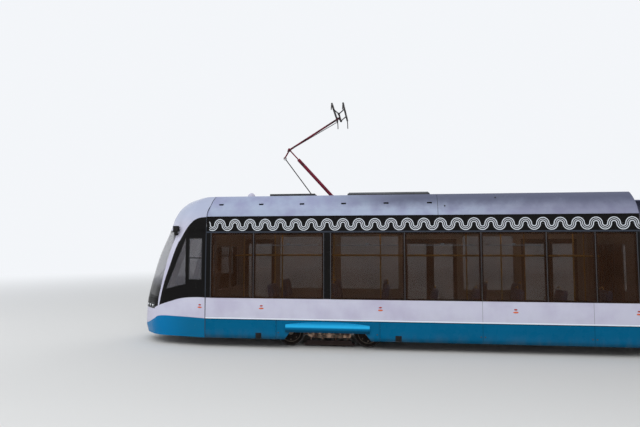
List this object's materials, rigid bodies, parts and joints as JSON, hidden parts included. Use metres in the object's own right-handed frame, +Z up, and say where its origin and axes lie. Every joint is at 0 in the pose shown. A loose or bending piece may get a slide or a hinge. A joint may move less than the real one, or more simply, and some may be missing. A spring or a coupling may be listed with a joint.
{
  "type": "three-section low-floor tram",
  "caption": "Low-floor city tram in three hinged sections, each on one swivelling bogie, with bellows, doors on the right side and a raised half-pantograph.",
  "frame": {"origin": "centre of the tram's length and width, at the lowest point of the wheel flanges", "axes": "+X forward along the tram, +Y to its left, +Z up"},
  "size_m": [27.5, 2.56, 5.776],
  "materials": {
    "body_paint": "gloss",
    "skirt_paint": "gloss",
    "tinted_glass": "gloss",
    "clear_glass": "gloss",
    "door_frame": "satin",
    "underframe": "matt",
    "bogie_iron": "rusty",
    "wheel_steel": "worn",
    "pantograph_red": "satin",
    "roof_grey": "matt",
    "bellows_rubber": "matt",
    "seat_plastic": "matt",
    "rail_paint": "gloss",
    "cabin_plastic": "matt",
    "lamp_lens": "gloss",
    "tail_lens": "gloss",
    "floor_cover": "matt"
  },
  "bodies": {
    "middle_section": {"middle_floor": "underframe", "middle_glass": "tinted_glass", "middle_handrails": "rail_paint", "middle_portals": "cabin_plastic", "middle_roof": "body_paint", "middle_seats": "seat_plastic", "middle_skirts": "skirt_paint", "middle_walls": "body_paint", "turntable_plates": "floor_cover"},
    "front_section": {"cab_partition": "cabin_plastic", "cab_shell": "body_paint", "camera_arms": "door_frame", "driver_desk": "cabin_plastic", "driver_seat": "cabin_plastic", "front_bellows": "bellows_rubber", "front_doors": "door_frame", "front_floor": "underframe", "front_glass": "tinted_glass", "front_handrails": "rail_paint", "front_portal": "cabin_plastic", "front_roof": "body_paint", "front_roof_units": "roof_grey", "front_seats": "seat_plastic", "front_skirts": "skirt_paint", "front_walls": "body_paint", "headlamps": "lamp_lens", "nose_bumper": "skirt_paint", "pantograph_base": "pantograph_red", "windscreen": "clear_glass"},
    "rear_section": {"rear_bellows": "bellows_rubber", "rear_doors": "door_frame", "rear_floor": "underframe", "rear_glass": "tinted_glass", "rear_handrails": "rail_paint", "rear_portal": "cabin_plastic", "rear_roof": "body_paint", "rear_roof_units": "roof_grey", "rear_seats": "seat_plastic", "rear_skirts": "skirt_paint", "rear_walls": "body_paint", "tail_bumper": "skirt_paint", "tail_lamps": "tail_lens", "tail_shell": "body_paint"},
    "front_bogie": {"front_bogie_frame": "bogie_iron", "front_bogie_gear": "bogie_iron"},
    "front_leading_wheelset": {"front_leading_wheelset": "wheel_steel"},
    "front_trailing_wheelset": {"front_trailing_wheelset": "wheel_steel"},
    "middle_bogie": {"middle_bogie_frame": "bogie_iron", "middle_bogie_gear": "bogie_iron"},
    "middle_leading_wheelset": {"middle_leading_wheelset": "wheel_steel"},
    "middle_trailing_wheelset": {"middle_trailing_wheelset": "wheel_steel"},
    "pantograph_coupling_rod": {"pantograph_coupling_rod": "pantograph_red"},
    "pantograph_head": {"pantograph_head": "pantograph_red"},
    "pantograph_lower_arm": {"pantograph_lower_arm": "pantograph_red"},
    "pantograph_tie_rod": {"pantograph_tie_rod": "pantograph_red"},
    "pantograph_upper_arm": {"pantograph_upper_arm": "pantograph_red"},
    "rear_bogie": {"rear_bogie_frame": "bogie_iron", "rear_bogie_gear": "bogie_iron"},
    "rear_leading_wheelset": {"rear_leading_wheelset": "wheel_steel"},
    "rear_trailing_wheelset": {"rear_trailing_wheelset": "wheel_steel"}
  },
  "joints": [
    {"name": "front_articulation", "type": "hinge", "parent": "middle_section", "child": "front_section", "pos_m": [2.115, 0, 0.316], "axis": [0, 0, 1], "range_deg": [-20, 20], "deforming": ["front_bellows"]},
    {"name": "rear_articulation", "type": "hinge", "parent": "middle_section", "child": "rear_section", "pos_m": [-2.115, 0, 0.316], "axis": [0, 0, 1], "range_deg": [-20, 20], "deforming": ["rear_bellows"]},
    {"name": "front_bogie_swivel", "type": "hinge", "parent": "front_section", "child": "front_bogie", "pos_m": [9, 0, 0.326], "axis": [0, 0, 1], "range_deg": [-12, 12]},
    {"name": "middle_bogie_swivel", "type": "hinge", "parent": "middle_section", "child": "middle_bogie", "pos_m": [0, 0, 0.326], "axis": [0, 0, 1], "range_deg": [-6, 6]},
    {"name": "rear_bogie_swivel", "type": "hinge", "parent": "rear_section", "child": "rear_bogie", "pos_m": [-9, 0, 0.326], "axis": [0, 0, 1], "range_deg": [-12, 12]},
    {"name": "front_leading_axle", "type": "hinge", "parent": "front_bogie", "child": "front_leading_wheelset", "pos_m": [9.9, 0, 0.336], "axis": [0, 1, 0], "continuous": true},
    {"name": "front_trailing_axle", "type": "hinge", "parent": "front_bogie", "child": "front_trailing_wheelset", "pos_m": [8.1, 0, 0.336], "axis": [0, 1, 0], "continuous": true},
    {"name": "middle_leading_axle", "type": "hinge", "parent": "middle_bogie", "child": "middle_leading_wheelset", "pos_m": [0.9, 0, 0.336], "axis": [0, 1, 0], "continuous": true},
    {"name": "middle_trailing_axle", "type": "hinge", "parent": "middle_bogie", "child": "middle_trailing_wheelset", "pos_m": [-0.9, 0, 0.336], "axis": [0, 1, 0], "continuous": true},
    {"name": "rear_leading_axle", "type": "hinge", "parent": "rear_bogie", "child": "rear_leading_wheelset", "pos_m": [-8.1, 0, 0.336], "axis": [0, 1, 0], "continuous": true},
    {"name": "rear_trailing_axle", "type": "hinge", "parent": "rear_bogie", "child": "rear_trailing_wheelset", "pos_m": [-9.9, 0, 0.336], "axis": [0, 1, 0], "continuous": true},
    {"name": "pantograph_foot", "type": "hinge", "parent": "front_section", "child": "pantograph_lower_arm", "pos_m": [8.892, 0, 3.476], "axis": [0, 1, 0], "range_deg": [-5, 40]},
    {"name": "pantograph_knuckle", "type": "hinge", "parent": "pantograph_lower_arm", "child": "pantograph_upper_arm", "pos_m": [10.109, 0, 4.816], "axis": [0, 1, 0], "range_deg": [-70, 10]},
    {"name": "collector_level", "type": "hinge", "parent": "pantograph_upper_arm", "child": "pantograph_head", "pos_m": [8.8, 0, 5.626], "axis": [0, 1, 0], "range_deg": [-5, 28]},
    {"name": "coupling_rod_foot", "type": "hinge", "parent": "front_section", "child": "pantograph_coupling_rod", "pos_m": [9.205, 0, 3.207], "axis": [0, 1, 0], "range_deg": [-6, 43]},
    {"name": "tie_rod_foot", "type": "hinge", "parent": "pantograph_lower_arm", "child": "pantograph_tie_rod", "pos_m": [10.129, 0, 4.77], "axis": [0, 1, 0], "range_deg": [-70, 10]}
  ],
  "couplings": [
    {"joint": "pantograph_knuckle", "follows": "pantograph_foot", "ratio": -1.65},
    {"joint": "collector_level", "follows": "pantograph_foot", "ratio": 0.64},
    {"joint": "coupling_rod_foot", "follows": "pantograph_foot", "ratio": 1.035},
    {"joint": "tie_rod_foot", "follows": "pantograph_foot", "ratio": -1.674}
  ]
}
